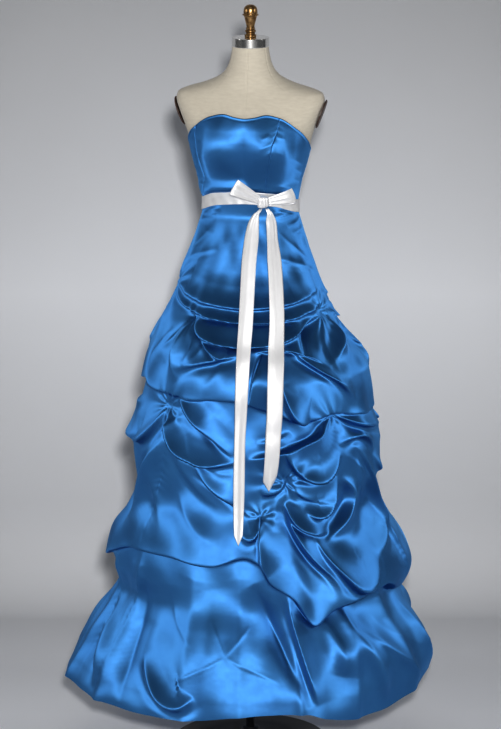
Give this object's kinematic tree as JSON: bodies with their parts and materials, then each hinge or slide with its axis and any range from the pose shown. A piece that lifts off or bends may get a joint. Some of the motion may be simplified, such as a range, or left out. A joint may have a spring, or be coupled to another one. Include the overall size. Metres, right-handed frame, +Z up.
{
  "type": "strapless prom dress on a dress form",
  "caption": "Strapless satin gown with a fitted bodice, ribbon sash tied in a bow and a full picked-up skirt, on a limbless linen dress form with a neck finial and round base.",
  "frame": {"origin": "on the floor, under the middle of the round base and the pole", "axes": "+Z up along the pole, -Y towards the front of the dress, +X towards the wearer's left"},
  "size_m": [0.9071, 0.8573, 1.8531],
  "materials": {
    "satin": "heavy polyester satin, royal blue, with a soft broad sheen",
    "ribbon": "white satin ribbon with fine woven edges",
    "zip_metal": "small plain metal slider and pull tab",
    "linen": "cream linen cover, plain weave, with sewn seams",
    "arm_plate": "dark brown enamelled plate",
    "cap_steel": "polished steel with fine turning marks",
    "finial_bronze": "turned finial in aged bronze gold",
    "pole_chrome": "chromed tube",
    "base_black": "black enamel"
  },
  "bodies": {
    "dress_on_form": {"bodice_front": "satin", "bodice_side_l": "satin", "bodice_side_r": "satin", "bodice_back_l": "satin", "bodice_back_r": "satin", "skirt_front": "satin", "skirt_side_l": "satin", "skirt_side_r": "satin", "skirt_back_l": "satin", "skirt_back_r": "satin", "sash_band": "ribbon", "bow_knot": "ribbon", "bow_loop_l": "ribbon", "bow_loop_r": "ribbon", "bow_tail_l": "ribbon", "bow_tail_r": "ribbon", "zip_slider": "zip_metal", "form_torso": "linen", "arm_plate_l": "arm_plate", "arm_plate_r": "arm_plate", "neck_cap": "cap_steel", "finial": "finial_bronze", "pole": "pole_chrome", "stand_base": "base_black"},
    "pull_tab": {"zip_tab": "zip_metal"}
  },
  "joints": [
    {"name": "tab_swing", "type": "hinge", "parent": "dress_on_form", "child": "pull_tab", "pos_m": [0, 0.10057, 1.48163], "axis": [1, 0, 0], "range_deg": [0, 150]}
  ]
}
